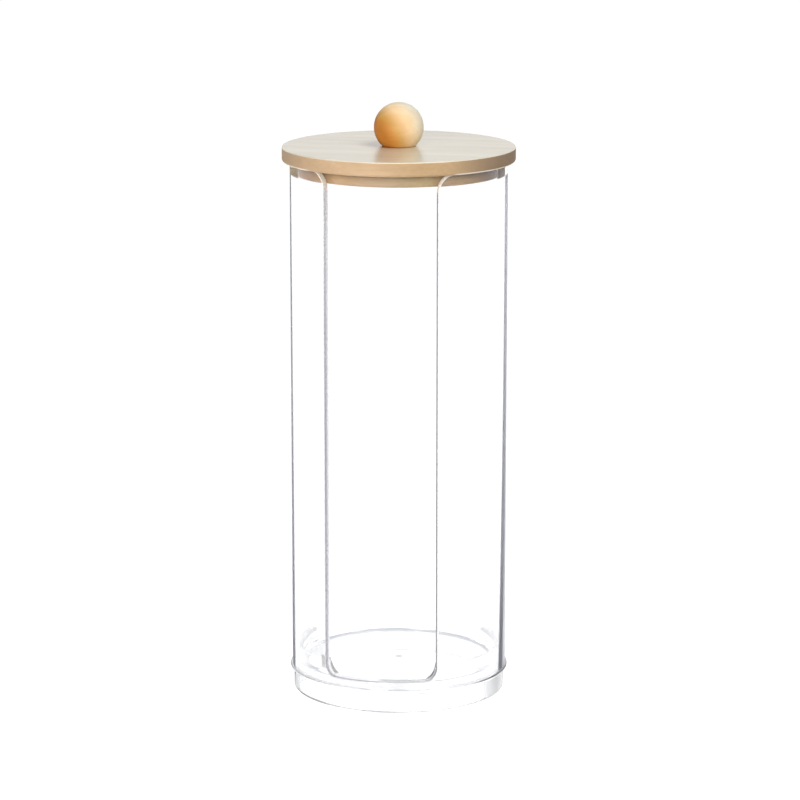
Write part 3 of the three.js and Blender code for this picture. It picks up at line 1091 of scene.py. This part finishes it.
# White all round, but for dark flags at the left and right that only reflections show
def makeWorld():
    world = bpy.data.worlds.new("studioWhite")
    scene.world = world
    world.use_nodes = True
    tree = world.node_tree
    tree.nodes.clear()
    background = addNode(tree, "ShaderNodeBackground")
    output = addNode(tree, "ShaderNodeOutputWorld")
    rays = addNode(tree, "ShaderNodeLightPath")
    towards = addNode(tree, "ShaderNodeTexCoord")
    parts = addNode(tree, "ShaderNodeSeparateXYZ")
    tree.links.new(towards.outputs["Generated"], parts.inputs[0])
    depthways = math2(tree, "ABSOLUTE", parts.outputs["Y"], 0.0)
    white = ramp(tree, depthways, *studioSpec["flagRange"], studioSpec["flagShare"], 1.0)
    reflected = math2(tree, "MULTIPLY", rays.outputs["Is Glossy Ray"], white)
    seen = math2(tree, "MAXIMUM", rays.outputs["Is Camera Ray"], reflected)
    seen = math2(tree, "MAXIMUM", seen, rays.outputs["Is Transmission Ray"])
    gain = math2(tree, "MULTIPLY", seen, studioSpec["worldSeen"] - studioSpec["worldFill"])
    tree.links.new(math2(tree, "ADD", gain, studioSpec["worldFill"]), background.inputs["Strength"])
    background.inputs["Color"].default_value = (1, 1, 1, 1)
    tree.links.new(background.outputs[0], output.inputs["Surface"])


def makeFloor():
    half = studioSpec["floorSize"] / 2
    bm = bmesh.new()
    corners = [bm.verts.new((x * half, y * half, 0)) for x, y in ((-1, -1), (1, -1), (1, 1), (-1, 1))]
    bm.faces.new(corners)
    mesh = bpy.data.meshes.new("floor")
    bm.to_mesh(mesh)
    bm.free()
    floor = bpy.data.objects.new("floor", mesh)
    scene.collection.objects.link(floor)
    material, tree, shader, output = newMaterial("paleFloor")
    tree.nodes.remove(shader)
    matt = addNode(tree, "ShaderNodeBsdfDiffuse")
    matt.inputs["Color"].default_value = studioSpec["floorColour"]
    glow = addNode(tree, "ShaderNodeEmission")
    glow.inputs["Color"].default_value = studioSpec["floorWhite"]
    glow.inputs["Strength"].default_value = studioSpec["floorGlow"]
    dim = addNode(tree, "ShaderNodeBsdfDiffuse")
    dim.inputs["Color"].default_value = (studioSpec["floorShare"],) * 3 + (1,)
    shown = addNode(tree, "ShaderNodeAddShader")
    tree.links.new(dim.outputs[0], shown.inputs[0])
    tree.links.new(glow.outputs[0], shown.inputs[1])
    rays = addNode(tree, "ShaderNodeLightPath")
    seen = math2(tree, "MAXIMUM", rays.outputs["Is Camera Ray"], rays.outputs["Is Glossy Ray"])
    seen = math2(tree, "MAXIMUM", seen, rays.outputs["Is Transmission Ray"])
    mix = addNode(tree, "ShaderNodeMixShader")
    tree.links.new(seen, mix.inputs["Fac"])
    tree.links.new(matt.outputs[0], mix.inputs[1])
    tree.links.new(shown.outputs[0], mix.inputs[2])
    tree.links.new(mix.outputs[0], output.inputs["Surface"])
    mesh.materials.append(material)


# At strength 1 a lamp lights a white surface that faces it to plain white
def makeLamps():
    aim = Vector(studioSpec["aim"])
    for lamp in lamps:
        azimuth = math.radians(lamp["azimuth"])
        elevation = math.radians(lamp["elevation"])
        away = Vector((math.sin(azimuth) * math.cos(elevation), -math.cos(azimuth) * math.cos(elevation),
                       math.sin(elevation)))
        light = bpy.data.lights.new(lamp["name"], "AREA")
        light.size = lamp["size"]
        light.energy = math.pi ** 2 * lamp["distance"] ** 2 * lamp["strength"]
        holder = bpy.data.objects.new(lamp["name"], light)
        scene.collection.objects.link(holder)
        holder.location = aim + away * lamp["distance"]
        holder.rotation_euler = away.to_track_quat("Z", "Y").to_euler()


# Camera at the photograph's viewing angle
cameraSpec = {
    "azimuth": math.radians(10.75),
    "pitch": math.radians(12.31),
    "reach": 1085.377 * mm,
    "height": 332.436 * mm,
    "sideStep": 0.38 * mm,
    "focalPixels": 3414.146,
    "framePixels": 800,
    "sensor": 36.0,
}


def makeCamera():
    azimuth = cameraSpec["azimuth"]
    right = Vector((math.cos(azimuth), math.sin(azimuth), 0))
    data = bpy.data.cameras.new("studioCamera")
    data.sensor_width = cameraSpec["sensor"]
    data.lens = cameraSpec["focalPixels"] / cameraSpec["framePixels"] * cameraSpec["sensor"]
    camera = bpy.data.objects.new("studioCamera", data)
    scene.collection.objects.link(camera)
    camera.location = around(azimuth, cameraSpec["reach"], cameraSpec["height"])
    camera.location += right * cameraSpec["sideStep"]
    camera.rotation_euler = (quarter - cameraSpec["pitch"], 0, azimuth)
    scene.camera = camera


makeWorld()
makeFloor()
makeLamps()
makeCamera()
scene.view_settings.view_transform = "Standard"
scene.cycles.max_bounces = studioSpec["lightBounces"]
scene.cycles.transmission_bounces = studioSpec["lightBounces"]
scene.cycles.glossy_bounces = studioSpec["lightBounces"]
scene.cycles.transparent_max_bounces = studioSpec["shadowBounces"]
print("studio, lamps and camera are set")
